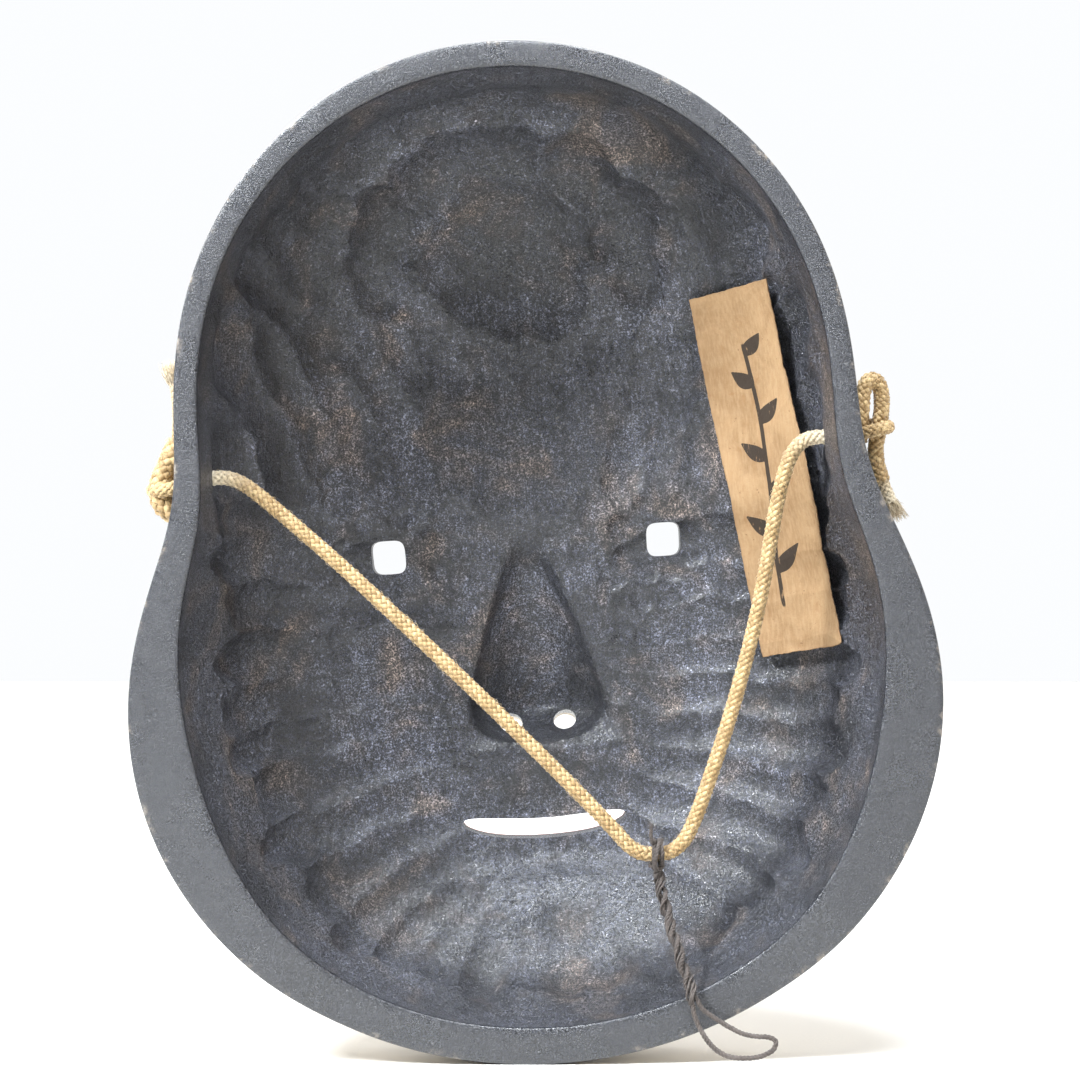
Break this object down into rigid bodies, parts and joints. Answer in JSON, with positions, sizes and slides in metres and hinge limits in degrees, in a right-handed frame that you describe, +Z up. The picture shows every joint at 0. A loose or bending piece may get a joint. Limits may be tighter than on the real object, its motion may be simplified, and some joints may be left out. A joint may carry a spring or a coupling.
{
  "type": "carved noh theatre mask",
  "caption": "Hollow carved wooden theatre mask with a flat back rim, a pasted paper slip, a braided side-to-side cord and a twisted twine hanging from it.",
  "frame": {"origin": "middle of the plane of the flat back rim, halfway up the mask's height", "axes": "+Z up towards the crown, +Y forward to the nose, +X to the right for a viewer who looks into the hollow back"},
  "size_m": [0.1652, 0.0731, 0.2091],
  "materials": {
    "lacquered_wood": "blackish stained and lacquered wood, satin, with gouge marks",
    "aged_paper": "aged tan paper with small brown spots, matt",
    "braid": "golden-tan round braid with a soft lustre",
    "dark_twine": "dark brown twisted twine, slightly fuzzy"
  },
  "bodies": {
    "mask": {"mask_shell": "lacquered_wood", "paper_label": "aged_paper", "cord_knot_left": "braid", "cord_knot_right": "braid", "cord_tail_left": "braid", "cord_tail_right": "braid"},
    "cord": {"cord_loop": "braid"},
    "twine": {"twine_hitch": "dark_twine", "twine_twist": "dark_twine", "twine_loop": "dark_twine"}
  },
  "joints": [
    {"name": "cord_swing", "type": "hinge", "parent": "mask", "child": "cord", "pos_m": [0, 0.015, 0.02], "axis": [-1, 0, 0], "range_deg": [0, 150]},
    {"name": "twine_swing", "type": "hinge", "parent": "cord", "child": "twine", "pos_m": [0.023, 0.015, -0.064], "axis": [-1, 0, 0], "range_deg": [0, 35]}
  ]
}
